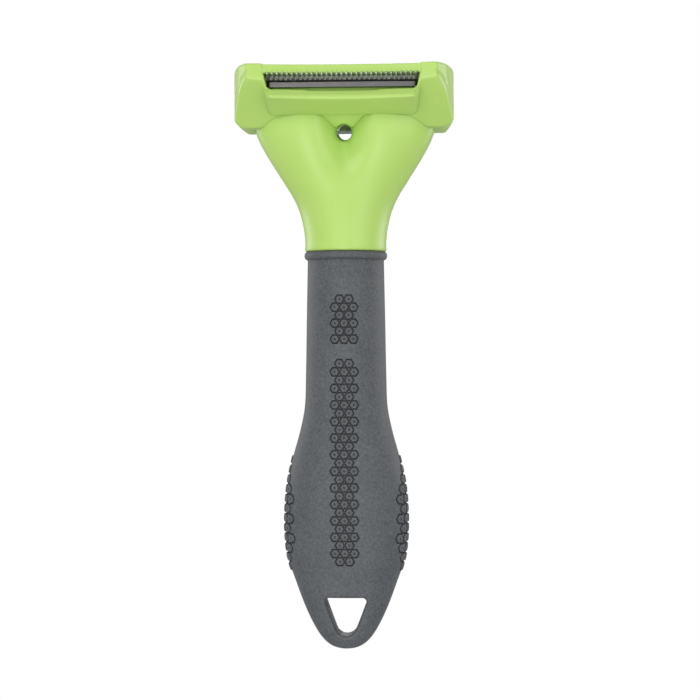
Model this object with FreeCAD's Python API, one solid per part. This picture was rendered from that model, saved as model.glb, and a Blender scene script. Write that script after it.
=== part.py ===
import FreeCAD, Part
import math
import os

# Hand-held deshedding tool: a rubber-gripped handle, a forked neck, and a T-shaped head that
# holds a toothed steel blade and the spring-returned bar that pushes the hair off it.
# Millimetres. X is across the head, Y runs from the teeth to the thumb button, Z is up the handle.
# The origin is on the handle's axis at its butt end.

Vector = FreeCAD.Vector
ORIGIN = Vector(0, 0, 0)
X_AXIS, Y_AXIS, Z_AXIS = Vector(1, 0, 0), Vector(0, 1, 0), Vector(0, 0, 1)
FAR = 60.0                        # beyond the tool in any direction from its axis

# ---- overall ----
TOOL_TOP = 147.0
HALF_DEPTH = 20.5                 # the guards and the button reach equally far from the handle's axis

# ---- handle: height, half width, half depth, squareness of the section (2 is an ellipse) ----
HANDLE_SECTIONS = [
    (0.0, 1.2, 0.8, 2.0),
    (0.5, 2.9, 2.0, 2.0),
    (1.6, 4.7, 3.0, 2.1),
    (3.4, 6.4, 3.9, 2.2),
    (6.5, 8.4, 4.8, 2.3),
    (11.0, 10.4, 5.7, 2.35),
    (17.0, 12.8, 7.2, 2.3),
    (23.0, 14.8, 8.8, 2.2),
    (29.0, 15.6, 9.8, 2.15),
    (35.0, 15.65, 10.35, 2.1),
    (42.0, 15.05, 10.6, 2.1),
    (49.0, 13.65, 10.55, 2.05),
    (56.0, 11.75, 10.3, 2.0),
    (62.0, 10.6, 10.1, 2.0),
    (70.0, 10.3, 10.0, 2.0),
    (84.0, 10.05, 9.9, 2.0),
    (99.4, 9.75, 9.75, 2.0),
]
GRIP_TOP = 99.4
GRIP_WALL_BUTT, GRIP_WALL, GRIP_WALL_FULL_AT = 1.3, 2.0, 17.0   # rubber over the core
CORE_TOP_RADIUS = 8.2
COLLAR_RADIUS = 10.55
NECK_JOINT = 101.5                # the neck stands on the core and the collar here
TANG_RADIUS, TANG_BOTTOM = 6.9, 80.0
SOCKET_CLEARANCE = 0.05
LOCK_PIN_RADIUS, LOCK_PIN_LENGTH, LOCK_PIN_HEIGHT = 1.25, 15.6, 89.0

# ---- hanging hole: a triangle, point down, with rounded corners ----
HANG_TOP = 13.6
HANG_BOTTOM_RADIUS, HANG_BOTTOM_CENTRE = 2.8, 6.4
HANG_SIDE_ANGLE = math.radians(21.0)
HANG_CORNER_RADIUS = 1.1
HANG_LINING = 1.0                 # rubber between the hole and the core

# ---- forked neck: height, half width, front, back, squareness, depth of the valleys as a share ----
NECK_RADIUS = 10.3
YOKE_SECTIONS = [
    (NECK_JOINT, NECK_RADIUS, -NECK_RADIUS, NECK_RADIUS, 2.0, 0.0),
    (105.5, NECK_RADIUS, -NECK_RADIUS, NECK_RADIUS, 2.0, 0.0),
    (110.0, 11.1, -10.4, 10.3, 2.0, 0.0),
    (114.5, 12.75, -10.6, 10.1, 2.05, 0.02),
    (118.5, 15.1, -11.0, 9.8, 2.15, 0.05),
    (122.5, 17.65, -11.5, 9.4, 2.25, 0.15),
    (126.5, 20.1, -12.1, 9.0, 2.35, 0.33),
    (130.5, 22.1, -12.7, 8.6, 2.4, 0.52),
    (136.2, 22.9, -12.95, 8.4, 2.4, 0.6),
]
VALLEY_WIDTH = 5.0
ARM_HOLLOW = [(116.0, 5.2, 2.4, 5.0), (124.0, 8.8, 4.2, 6.4), (136.3, 12.6, 6.2, 7.2)]
ARM_HOLLOW_BACKSET = -1.4
FORK_HOLE_RADIUS, FORK_HOLE_HEIGHT, FORK_HOLE_Y, FORK_HOLE_RISE = 2.15, 131.5, -5.0, 6.5
SADDLE_WALL = 1.0                 # wall of the head around the fork's hole

# ---- head ----
HEAD_HALF_WIDTH = 27.9
HEAD_BOTTOM = 132.3
HEAD_BACK = 9.5
CHIN_BACK, CAVITY_FLOOR = -8.2, 133.8
HEAD_SIDE = [(-HALF_DEPTH, TOOL_TOP), (-HALF_DEPTH, 143.4), (CHIN_BACK, HEAD_BOTTOM), (5.0, HEAD_BOTTOM),
             (HEAD_BACK, 133.6), (HEAD_BACK, 146.2), (7.2, TOOL_TOP)]
HEAD_SIDE_RADII = [1.0, 1.6, 1.5, 2.0, 1.5, 1.0, 1.0]
LOWER_CORNER, UPPER_CORNER = 3.4, 2.0
# right-hand end seen from above: x, y, radius
END_PLAN = [(22.9, -21.5, 2.5), (25.7, -16.4, 8.0), (HEAD_HALF_WIDTH, -8.0, 12.0), (25.1, HEAD_BACK, 4.0)]
CREASE_X, CREASE_Z, CREASE_RADIUS, CREASE_WIDTH, CREASE_DEPTH = 17.3, 137.0, 10.0, 0.3, 0.3
FRONT_MIDDLE, FRONT_RADIUS = -18.75, 165.0    # the front is hollowed to fit a curved flank
PARTING = [(-15.0, TOOL_TOP), (-5.5, HEAD_BOTTOM)]   # slanted plane between housing and cover
CAVITY = [(-13.5, 146.0), (-13.5, 139.4), (-7.0, CAVITY_FLOOR), (5.0, CAVITY_FLOOR), (7.4, 134.8), (7.4, 145.2),
          (6.4, 146.0)]
CAVITY_RADII = [0, 1.0, 1.0, 1.0, 0.8, 0.6, 0.6]
CAVITY_HALF_WIDTH = 24.9
CAVITY_PLAN = [(CAVITY_HALF_WIDTH, -15.0), (CAVITY_HALF_WIDTH, 1.0), (21.4, 7.6)]    # follows the rounded rear corners
FRAME_OUTLINE = [(-18.6, 134.0), (18.6, 134.0), (20.2, TOOL_TOP - 0.4), (-20.2, TOOL_TOP - 0.4)]
FRAME_CORNER = 4.0
FRAME_SIDE = [(-21.5, TOOL_TOP - 0.4), (-21.5, 138.3), (-19.0, 138.3), (-12.0, 135.0), (-12.0, TOOL_TOP - 0.4)]
SLOT_LIP_BOTTOM, SLOT_LIP_DEPTH = 138.9, 1.6    # bevel from the rim up to the slot
SLOT_TOP, SLOT_BOTTOM = 144.75, 140.6
SLOT_TOP_HALF, SLOT_BOTTOM_HALF = 19.3, 18.5

# ---- mechanism frame: origin at the root of the teeth, under the blade, tilted about X ----
TILT = 10.0
MECH_Y, MECH_Z = -15.5, 143.4
TRAVEL = 5.5
CLEAR = 0.4                       # between a moving piece and its surroundings

# ---- blade (y and z from here on are in the mechanism frame) ----
TEETH, TOOTH_PITCH = 31, 1.22
TOOTH_LENGTH = 4.2                # at the middle; the row is hollowed, so the end teeth stand forward
TOOTH_ROOT, TOOTH_TIP = 0.72, 0.34
TIP_ROW_RADIUS = 240.0
BLADE_THICK, BLADE_TIP_THICK = 1.2, 0.32
BLADE_HALF_WIDTH, BLADE_BACK = 20.4, 9.2
BLADE_SCREW_X, BLADE_SCREW_Y, BLADE_SCREW_LENGTH = (-13.0, 0.0, 13.0), 6.4, 3.8
DOWEL_X, DOWEL_Y, DOWEL_RADIUS, DOWEL_LENGTH = 18.2, 6.4, 0.75, 3.0
SCREW_SHANK, SCREW_HEAD, SCREW_HEAD_HEIGHT = 1.1, 2.0, 1.2

# ---- ejector ----
BAR_HALF_WIDTH, BAR_TOP, BAR_BOTTOM = 18.4, -0.65, -1.9
BAR_FRONT, BAR_BACK = -0.2, 3.2
RIVET_X, RIVET_Y, RIVET_RADIUS = (-12.0, 0.0, 12.0), 1.9, 0.6
CARRIAGE_TOP, CARRIAGE_BOTTOM = -0.8, -2.7
LEDGE_HALF_WIDTH, LEDGE_BACK, RUN_FLOOR = 17.4, 5.2, -3.4
CARRIAGE_FRONT, CARRIAGE_WIDE_BACK, CARRIAGE_HALF_WIDTH = 0.8, 10.0, 18.4
UPRIGHT_FRONT, UPRIGHT_BACK, UPRIGHT_TOP, UPRIGHT_HALF_WIDTH = 20.1, 21.7, 4.8, 10.4
SPRING_X, SPRING_Z = 6.8, 2.25
SPRING_RADIUS, SPRING_WIRE, SPRING_TURNS = 1.85, 0.25, 7
GUIDE_PIN_RADIUS, GUIDE_PIN_SEAT, GUIDE_PIN_BACK = 1.0, 3.5, 23.0
RUNNING_CLEARANCE = 0.05
SEAT_HALF_WIDTH, SEAT_BACK, SEAT_TOP = 22.0, 9.6, 146.6   # thick seat over the blade
BUTTON_HALF_WIDTH, BUTTON_BOTTOM, BUTTON_TOP, BUTTON_LIP = 11.0, -1.6, 5.1, -3.4
BUTTON_BACK, BUTTON_LIP_FRONT, BUTTON_CORNER, BUTTON_WALL = 36.8, 32.3, 2.2, 1.4
BUTTON_REAR_TOP, BUTTON_REAR_RADIUS, BUTTON_LIP_RADIUS = 3.6, 3.2, 1.6
BUTTON_SCREW_X, BUTTON_SCREW_Z = 2.6, 1.4
RIB_PITCH, RIB_DEPTH, RIBS = 1.1, 0.45, 9

# ---- bosses that join housing, yoke and cover ----
BOSS_X, BOSS_Z, FRONT_BOSS_RADIUS, REAR_BOSS_RADIUS = 21.7, 138.4, 2.3, 3.2
HOUSING_SCREW_LENGTH = 13.0
SCREW_SEAT, SCREW_ROOM = 6.2, 2.35      # seat of the housing screws, and the radius of their recess
EAR_FRONT, EAR_BACK, EAR_INNER, EAR_OUTER, EAR_TOP = 0.2, 2.6, 19.2, 24.3, 141.0


# ------------------------------------------------------------------ shared shapes
def block(x0, x1, y0, y1, z0, z1):
    return Part.makeBox(x1 - x0, y1 - y0, z1 - z0, Vector(x0, y0, z0))


def rod(radius, start, direction, length):
    return Part.makeCylinder(radius, length, start, direction)


def section(height, half_x, front, back, squareness, valley=0.0, count=32):
    """A closed smooth outline at one height: a superellipse, pinched front and back by the valley."""
    points = []
    for k in range(count):
        c, s = math.cos(2 * math.pi * k / count), math.sin(2 * math.pi * k / count)
        x = half_x * math.copysign(abs(c) ** (2 / squareness), c)
        y = (back - front) / 2 * math.copysign(abs(s) ** (2 / squareness), s)
        y *= 1 - valley * math.exp(-((x / VALLEY_WIDTH) ** 2))
        points.append(Vector(x, (front + back) / 2 + y, height))
    curve = Part.BSplineCurve()
    curve.interpolate(points, PeriodicFlag=True)
    return Part.Wire([curve.toShape()])


def round_section(height, half_x, half_y, squareness):
    return section(height, half_x, -half_y, half_y, squareness)


def loft(wires):
    return Part.makeLoft(wires, True, False)


def rounded_outline(corners, radii, place):
    """Closed face through the corners, each rounded by its radius; place(u, v) gives the 3-D point."""
    starts, ends, edges = [], [], []
    for k, corner in enumerate(corners):
        p = Vector(*corner, 0)
        a = (Vector(*corners[k - 1], 0) - p).normalize()
        b = (Vector(*corners[(k + 1) % len(corners)], 0) - p).normalize()
        half = a.getAngle(b) / 2
        starts.append(p + a * (radii[k] / math.tan(half)))
        ends.append(p + b * (radii[k] / math.tan(half)))
        if radii[k]:
            middle = p + (a + b).normalize() * (radii[k] / math.sin(half) - radii[k])
            edges.append(Part.Arc(*[place(q.x, q.y) for q in (starts[k], middle, ends[k])]).toShape())
    for k in range(len(corners)):
        edges.append(Part.makeLine(place(ends[k - 1].x, ends[k - 1].y), place(starts[k].x, starts[k].y)))
    return Part.Face(Part.Wire(Part.__sortEdges__(edges)))


def across_x(corners, radii, half_width):
    """A side profile given as (y, z), extruded to both sides."""
    face = rounded_outline(corners, radii, lambda u, v: Vector(-half_width, u, v))
    return face.extrude(Vector(2 * half_width, 0, 0))


def along_y(corners, radii, front, back):
    """A front profile given as (x, z), extruded from front to back."""
    face = rounded_outline(corners, radii, lambda u, v: Vector(u, front, v))
    return face.extrude(Vector(0, back - front, 0))


def from_above(corners, radii, bottom, top):
    """A plan given as (x, y), extruded upwards."""
    face = rounded_outline(corners, radii, lambda u, v: Vector(u, v, bottom))
    return face.extrude(Vector(0, 0, top - bottom))


def in_place(shape):
    """From the mechanism frame to the tool's frame."""
    shape = shape.copy()
    shape.rotate(ORIGIN, X_AXIS, -TILT)
    shape.translate(Vector(0, MECH_Y, MECH_Z))
    return shape


def with_mirror(shape):
    """The shape and its mirror image across the tool's middle plane."""
    return Part.makeCompound([shape, shape.mirror(ORIGIN, X_AXIS)])


def pan_screw(seat, direction, length):
    """A screw whose head's underside is at seat; it points along direction."""
    direction = Vector(direction).normalize()
    top = seat - direction * SCREW_HEAD_HEIGHT
    screw = rod(SCREW_SHANK, seat, direction, length).fuse(rod(SCREW_HEAD, top, direction, SCREW_HEAD_HEIGHT))
    recess = rod(SCREW_HEAD * 0.4, top, direction, SCREW_HEAD_HEIGHT * 0.6)
    return screw.cut(recess).removeSplitter()


# ------------------------------------------------------------------ handle
def hang_hole(grown=0.0):
    """The hanging hole as a prism right through the handle."""
    radius = HANG_BOTTOM_RADIUS + grown
    apex = HANG_BOTTOM_CENTRE - radius / math.sin(HANG_SIDE_ANGLE)
    top = HANG_TOP + grown
    half = (top - apex) * math.tan(HANG_SIDE_ANGLE)
    corner = HANG_CORNER_RADIUS + grown
    return along_y([(0, apex), (half, top), (-half, top)], [radius, corner, corner], -FAR, FAR)


def lock_pin_shape():
    return rod(LOCK_PIN_RADIUS, Vector(-LOCK_PIN_LENGTH / 2, 0, LOCK_PIN_HEIGHT), X_AXIS, LOCK_PIN_LENGTH)


def core_envelope():
    wires = []
    for height, half_x, half_y, squareness in HANDLE_SECTIONS[3:-1]:
        share = min(1.0, height / GRIP_WALL_FULL_AT)
        wall = GRIP_WALL_BUTT + (GRIP_WALL - GRIP_WALL_BUTT) * share
        wires.append(round_section(height, half_x - wall, half_y - wall, squareness))
    for height in (GRIP_TOP - 5, NECK_JOINT):
        wires.append(round_section(height, CORE_TOP_RADIUS, CORE_TOP_RADIUS, 2.0))
    return loft(wires).cut(hang_hole(HANG_LINING))


def handle_core(envelope):
    """Stiff plastic core: follows the grip from inside, with a socket for the neck's tang."""
    socket = rod(TANG_RADIUS + SOCKET_CLEARANCE, Vector(0, 0, TANG_BOTTOM - 0.5), Z_AXIS, FAR)
    return envelope.cut(socket).cut(lock_pin_shape())


def grip_sleeve(envelope):
    """Soft rubber moulded over the core; it also lines the hanging hole."""
    return loft([round_section(*row) for row in HANDLE_SECTIONS]).cut(hang_hole()).cut(envelope)


def collar_ring(core):
    """Rubber bead that closes the joint between grip and neck."""
    inner = CORE_TOP_RADIUS - 0.6      # runs under the core's surface, which then trims it
    rim = [(inner, GRIP_TOP), (COLLAR_RADIUS, GRIP_TOP), (COLLAR_RADIUS, NECK_JOINT), (inner, NECK_JOINT)]
    face = rounded_outline(rim, [0, 0.7, 0.9, 0], lambda u, v: Vector(u, 0, v))
    return face.revolve(ORIGIN, Z_AXIS, 360).cut(core)


# ------------------------------------------------------------------ forked neck
def arm_hollow():
    """The hollow inside the right-hand arm, open at the top."""
    wires = []
    for height, middle, half_x, half_y in ARM_HOLLOW:
        wire = round_section(height, half_x, half_y, 2.0)
        wire.translate(Vector(middle, ARM_HOLLOW_BACKSET, 0))
        wires.append(wire)
    return loft(wires)


def fork_hole(radius):
    """Hole between the arms, rising a little towards the back."""
    rise = math.radians(FORK_HOLE_RISE)
    direction = Vector(0, math.cos(rise), math.sin(rise))
    return rod(radius, Vector(0, FORK_HOLE_Y, FORK_HOLE_HEIGHT) - direction * 20, direction, 50)


def yoke_ear():
    """Ear that is clamped between the housing's boss and the cover's boss."""
    ear = block(EAR_INNER, EAR_OUTER, EAR_FRONT, EAR_BACK, HEAD_BOTTOM + 0.4, EAR_TOP)
    return ear.cut(rod(SCREW_SHANK + 0.15, Vector(BOSS_X, -FAR / 2, BOSS_Z), Y_AXIS, FAR))


def neck_yoke(solid_yoke):
    """One moulding: round tang and neck that fork into two hollow arms with ears."""
    yoke = solid_yoke.cut(with_mirror(arm_hollow())).fuse(list(with_mirror(yoke_ear()).Solids))
    tang = rod(TANG_RADIUS, Vector(0, 0, TANG_BOTTOM), Z_AXIS, NECK_JOINT - TANG_BOTTOM + 1)
    return yoke.fuse(tang).cut(lock_pin_shape()).removeSplitter()


# ------------------------------------------------------------------ head shells
def hollow_of_front():
    return rod(FRONT_RADIUS, Vector(0, FRONT_MIDDLE - FRONT_RADIUS, HEAD_BOTTOM - 20), Z_AXIS, FAR)


def head_envelope():
    """Outside of the head: side, front and plan outlines, each extruded, and what they share."""
    w = HEAD_HALF_WIDTH
    side = across_x(HEAD_SIDE, HEAD_SIDE_RADII, w + 1)
    front = along_y([(-w, HEAD_BOTTOM), (w, HEAD_BOTTOM), (w, TOOL_TOP), (-w, TOOL_TOP)],
                    [LOWER_CORNER, LOWER_CORNER, UPPER_CORNER, UPPER_CORNER], -FAR, FAR)
    right = [(x, y) for x, y, radius in END_PLAN]
    left = [(-x, y) for x, y in reversed(right)]
    radii = [radius for x, y, radius in END_PLAN]
    plan = from_above(right + left, radii + radii[::-1], 100, 160)
    return side.common(front).common(plan).cut(hollow_of_front())


def crease(envelope):
    """Fine curved groove near the right-hand upper corner of the front, sunk evenly into its surface."""
    centre = Vector(CREASE_X, -FAR, CREASE_Z)
    ring = Part.makeCylinder(CREASE_RADIUS + CREASE_WIDTH / 2, FAR - 12, centre, Y_AXIS)
    ring = ring.cut(Part.makeCylinder(CREASE_RADIUS - CREASE_WIDTH / 2, FAR - 12, centre, Y_AXIS))
    ring = ring.common(block(CREASE_X + 5.6, CREASE_X + 8.8, -FAR, 0, CREASE_Z + 4.5, TOOL_TOP))
    deeper = envelope.translated(Vector(-CREASE_DEPTH, CREASE_DEPTH, 0))
    return ring.cut(deeper)


def behind_parting():
    """Everything behind the slanted parting plane."""
    (top_y, top_z), (low_y, low_z) = PARTING
    lean = (low_y - top_y) / (top_z - low_z)
    reach = 20.0
    profile = [(top_y - lean * reach, top_z + reach), (FAR, top_z + reach), (FAR, low_z - reach),
               (low_y + lean * reach, low_z - reach)]
    return across_x(profile, [0, 0, 0, 0], FAR)


def slot_lip():
    """Bevel that leads from the rim below the slot up into it, following the hollow front."""
    axis_point = Vector(0, FRONT_MIDDLE - FRONT_RADIUS, SLOT_LIP_BOTTOM)
    cone = Part.makeCone(FRONT_RADIUS, FRONT_RADIUS + SLOT_LIP_DEPTH, SLOT_BOTTOM - SLOT_LIP_BOTTOM, axis_point, Z_AXIS)
    return cone.common(block(-SLOT_BOTTOM_HALF, SLOT_BOTTOM_HALF, -FAR, 0, 130, 150))


def slot():
    """The blade's slot: flared mouth, the run of the ejector, and the pocket for the blade's body."""
    mouth = along_y([(-SLOT_BOTTOM_HALF, SLOT_BOTTOM), (SLOT_BOTTOM_HALF, SLOT_BOTTOM),
                     (SLOT_TOP_HALF, SLOT_TOP), (-SLOT_TOP_HALF, SLOT_TOP)],
                    [1.0, 1.0, 0.3, 0.3], -HALF_DEPTH - 2, -16.4)
    run = block(-CARRIAGE_HALF_WIDTH - CLEAR, CARRIAGE_HALF_WIDTH + CLEAR, -1.5, 6.0, RUN_FLOOR, 0.5)
    pocket = block(-BLADE_HALF_WIDTH, BLADE_HALF_WIDTH, -1.4, BLADE_BACK, -0.2, BLADE_THICK)
    return mouth.fuse([in_place(run), in_place(pocket)])


def blade_seat():
    """Thick seat over the blade that takes its screws, its dowels and the guide pins."""
    w = SEAT_HALF_WIDTH
    over_blade = in_place(block(-w, w, 0.0, SEAT_BACK, BLADE_THICK, 12.0))
    return over_blade.common(block(-w, w, -FAR, FAR, HEAD_BOTTOM, SEAT_TOP))


def mechanism_space():
    """The cavity inside both shells, without the seat over the blade."""
    plan = from_above(CAVITY_PLAN + [(-x, y) for x, y in reversed(CAVITY_PLAN)], [0, 2.0, 1.0, 1.0, 2.0, 0], 100, 160)
    return across_x(CAVITY, CAVITY_RADII, CAVITY_HALF_WIDTH).common(plan).cut(blade_seat())


def screw_line(radius, y0, y1):
    """Rods along both housing screws' axes, for bosses, holes and recesses."""
    return with_mirror(rod(radius, Vector(BOSS_X, y0, BOSS_Z), Y_AXIS, y1 - y0))


def guide_pin(side):
    """Steel pin that guides the carriage and carries a spring; its front is pressed into the seat."""
    start = SEAT_BACK - GUIDE_PIN_SEAT
    return in_place(rod(GUIDE_PIN_RADIUS, Vector(side * SPRING_X, start, SPRING_Z), Y_AXIS, GUIDE_PIN_BACK - start))


def head_front_housing(space, solid_yoke):
    """Front moulding: slot frame, guards at both ends, chin, and the seat over the blade."""
    frame = along_y(FRAME_OUTLINE, [FRAME_CORNER, FRAME_CORNER, 0, 0], -FAR, FAR)
    frame = frame.common(across_x(FRAME_SIDE, [0, 1.0, 0.8, 0, 0], FAR)).cut(hollow_of_front())
    envelope = head_envelope()
    shell = envelope.fuse(frame).cut(behind_parting()).cut(with_mirror(crease(envelope)))
    bosses = screw_line(FRONT_BOSS_RADIUS, -HALF_DEPTH, EAR_FRONT).common(envelope)
    shell = shell.cut(slot_lip()).cut(space).fuse([blade_seat()] + bosses.Solids)
    shell = shell.cut(slot()).cut(screw_line(SCREW_SHANK, SCREW_SEAT - HOUSING_SCREW_LENGTH, EAR_FRONT))
    for x in BLADE_SCREW_X:
        shell = shell.cut(in_place(rod(SCREW_SHANK, Vector(x, BLADE_SCREW_Y, 0), Z_AXIS, BLADE_SCREW_LENGTH)))
    for fitted in (blade_dowels(), guide_pin(-1), guide_pin(1), solid_yoke, fork_hole(FORK_HOLE_RADIUS)):
        shell = shell.cut(fitted)
    return shell.removeSplitter()


def button_window():
    gap = CLEAR
    return in_place(along_y(
        [(-BUTTON_HALF_WIDTH - gap, BUTTON_BOTTOM - gap), (BUTTON_HALF_WIDTH + gap, BUTTON_BOTTOM - gap),
         (BUTTON_HALF_WIDTH + gap, BUTTON_TOP + gap), (-BUTTON_HALF_WIDTH - gap, BUTTON_TOP + gap)],
        [BUTTON_CORNER + gap] * 4, UPRIGHT_BACK, FAR))


def head_rear_cover(space, solid_yoke):
    """Rear moulding with the button's window, the saddle over the fork's hole, and the screw bosses."""
    outside = head_envelope().common(behind_parting())
    saddle = fork_hole(FORK_HOLE_RADIUS + SADDLE_WALL).common(outside)
    shell = outside.cut(space).fuse([saddle] + screw_line(REAR_BOSS_RADIUS, EAR_BACK, HEAD_BACK - 1.5).Solids)
    ear_room = block(EAR_INNER - 0.1, EAR_OUTER + 0.1, EAR_FRONT, EAR_BACK, HEAD_BOTTOM + 0.4, EAR_TOP + 0.1)
    for gap in (button_window(), blade_seat(), screw_line(SCREW_SHANK + 0.15, 0, SCREW_SEAT),
                screw_line(SCREW_ROOM, SCREW_SEAT, FAR), with_mirror(ear_room), solid_yoke,
                fork_hole(FORK_HOLE_RADIUS)):
        shell = shell.cut(gap)
    return shell.removeSplitter()


def housing_screws():
    return with_mirror(pan_screw(Vector(BOSS_X, SCREW_SEAT, BOSS_Z), (0, -1, 0), HOUSING_SCREW_LENGTH))


# ------------------------------------------------------------------ blade
def tip_line(x):
    """How far forward of the roots a tooth reaches at x: a shallow arc, hollow in the middle."""
    return TOOTH_LENGTH + TIP_ROW_RADIUS - math.sqrt(TIP_ROW_RADIUS ** 2 - x * x)


def blade():
    """Steel comb blade: a ground wedge with cut teeth and a drilled body."""
    w, front = BLADE_HALF_WIDTH, -tip_line(TEETH * TOOTH_PITCH / 2)
    body = block(-w, w, 0, BLADE_BACK, 0, BLADE_THICK)
    for k in range(TEETH):
        x = (k - (TEETH - 1) / 2) * TOOTH_PITCH
        root, tip, reach = TOOTH_ROOT / 2, TOOTH_TIP / 2, -tip_line(x)
        face = Part.Face(Part.makePolygon([Vector(x - root, 0.5, 0), Vector(x + root, 0.5, 0), Vector(x + tip, reach, 0),
                                           Vector(x - tip, reach, 0), Vector(x - root, 0.5, 0)]))
        body = body.fuse(face.extrude(Vector(0, 0, BLADE_THICK)))
    grind = Part.Face(Part.makePolygon([Vector(-w, 1.5, BLADE_THICK), Vector(-w, front, BLADE_TIP_THICK),
                                        Vector(-w, front - 1, BLADE_THICK + 1), Vector(-w, 1.5, BLADE_THICK + 1),
                                        Vector(-w, 1.5, BLADE_THICK)]))
    body = body.cut(grind.extrude(Vector(2 * w, 0, 0)))
    for x in BLADE_SCREW_X:
        body = body.cut(rod(SCREW_SHANK + 0.1, Vector(x, BLADE_SCREW_Y, -1), Z_AXIS, 5))
    return in_place(body).cut(blade_dowels()).removeSplitter()


def blade_dowels():
    """Two steel dowels that set the blade's place in the housing."""
    return in_place(with_mirror(rod(DOWEL_RADIUS, Vector(DOWEL_X, DOWEL_Y, 0), Z_AXIS, DOWEL_LENGTH)))


def blade_screws():
    screws = [pan_screw(Vector(x, BLADE_SCREW_Y, 0), (0, 0, 1), BLADE_SCREW_LENGTH) for x in BLADE_SCREW_X]
    return in_place(Part.makeCompound(screws))


# ------------------------------------------------------------------ ejector
def ejector_bar():
    """Steel strip that sweeps the hair off the teeth."""
    bar = block(-BAR_HALF_WIDTH, BAR_HALF_WIDTH, BAR_FRONT, BAR_BACK, BAR_BOTTOM, BAR_TOP)
    upright_edges = [e for e in bar.Edges if abs(e.BoundBox.ZLength - (BAR_TOP - BAR_BOTTOM)) < 0.01]
    bar = bar.makeFillet(0.6, upright_edges)
    for x in RIVET_X:
        bar = bar.cut(rod(RIVET_RADIUS, Vector(x, RIVET_Y, -5), Z_AXIS, 10))
    return in_place(bar)


def bar_rivets():
    """Flush rivets that hold the bar on the carriage's front ledge."""
    rivets = [rod(RIVET_RADIUS, Vector(x, RIVET_Y, CARRIAGE_BOTTOM), Z_AXIS, BAR_TOP - CARRIAGE_BOTTOM) for x in RIVET_X]
    return in_place(Part.makeCompound(rivets))


def ejector_carriage():
    """Sliding carriage: front ledge for the bar, grooves past the screws, upright for pins and button."""
    w, u = CARRIAGE_HALF_WIDTH, UPRIGHT_HALF_WIDTH
    ledge = block(-LEDGE_HALF_WIDTH, LEDGE_HALF_WIDTH, CARRIAGE_FRONT, LEDGE_BACK, CARRIAGE_BOTTOM, CARRIAGE_TOP)
    ledge = ledge.cut(block(-FAR, FAR, CARRIAGE_FRONT, BAR_BACK, BAR_BOTTOM, CARRIAGE_TOP))
    plate = block(-w, w, LEDGE_BACK, CARRIAGE_WIDE_BACK, CARRIAGE_BOTTOM, CARRIAGE_TOP)
    tail = block(-u, u, CARRIAGE_WIDE_BACK, UPRIGHT_BACK, CARRIAGE_BOTTOM, CARRIAGE_TOP)
    upright = block(-u, u, UPRIGHT_FRONT, UPRIGHT_BACK, CARRIAGE_BOTTOM, UPRIGHT_TOP)
    carriage = plate.fuse([ledge, tail, upright])
    room = SCREW_HEAD + CLEAR
    for x in BLADE_SCREW_X:
        groove = block(x - room, x + room, BLADE_SCREW_Y - room, BLADE_SCREW_Y + room + TRAVEL,
                       -SCREW_HEAD_HEIGHT - CLEAR, 0)
        carriage = carriage.cut(groove)
    for x in RIVET_X:
        carriage = carriage.cut(rod(RIVET_RADIUS, Vector(x, RIVET_Y, -5), Z_AXIS, 10))
    for x in (-SPRING_X, SPRING_X):
        carriage = carriage.cut(rod(GUIDE_PIN_RADIUS + RUNNING_CLEARANCE, Vector(x, 0, SPRING_Z), Y_AXIS, 40))
    for x in (-BUTTON_SCREW_X, BUTTON_SCREW_X):
        carriage = carriage.cut(rod(SCREW_SHANK + 0.1, Vector(x, 0, BUTTON_SCREW_Z), Y_AXIS, 40))
    return in_place(carriage).removeSplitter()


def return_spring(side):
    """Compression spring between the housing's seat and the carriage's upright."""
    front, back = SEAT_BACK + SPRING_WIRE, UPRIGHT_FRONT - SPRING_WIRE
    radius = SPRING_RADIUS - SPRING_WIRE
    helix = Part.makeHelix((back - front) / SPRING_TURNS, back - front, radius)
    circle = Part.Wire(Part.makeCircle(SPRING_WIRE, Vector(radius, 0, 0), Vector(0, 1, 0)))
    coil = Part.Wire(helix.Edges).makePipeShell([circle], True, True)
    coil.rotate(ORIGIN, X_AXIS, -90)
    coil.translate(Vector(side * SPRING_X, front, SPRING_Z))
    return in_place(coil)


def button_prism(front, back, bottom, top, inset=0.0):
    w = BUTTON_HALF_WIDTH - inset
    return along_y([(-w, bottom + inset), (w, bottom + inset), (w, top - inset), (-w, top - inset)],
                   [max(BUTTON_CORNER - inset, 0.5)] * 4, front, back)


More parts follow.
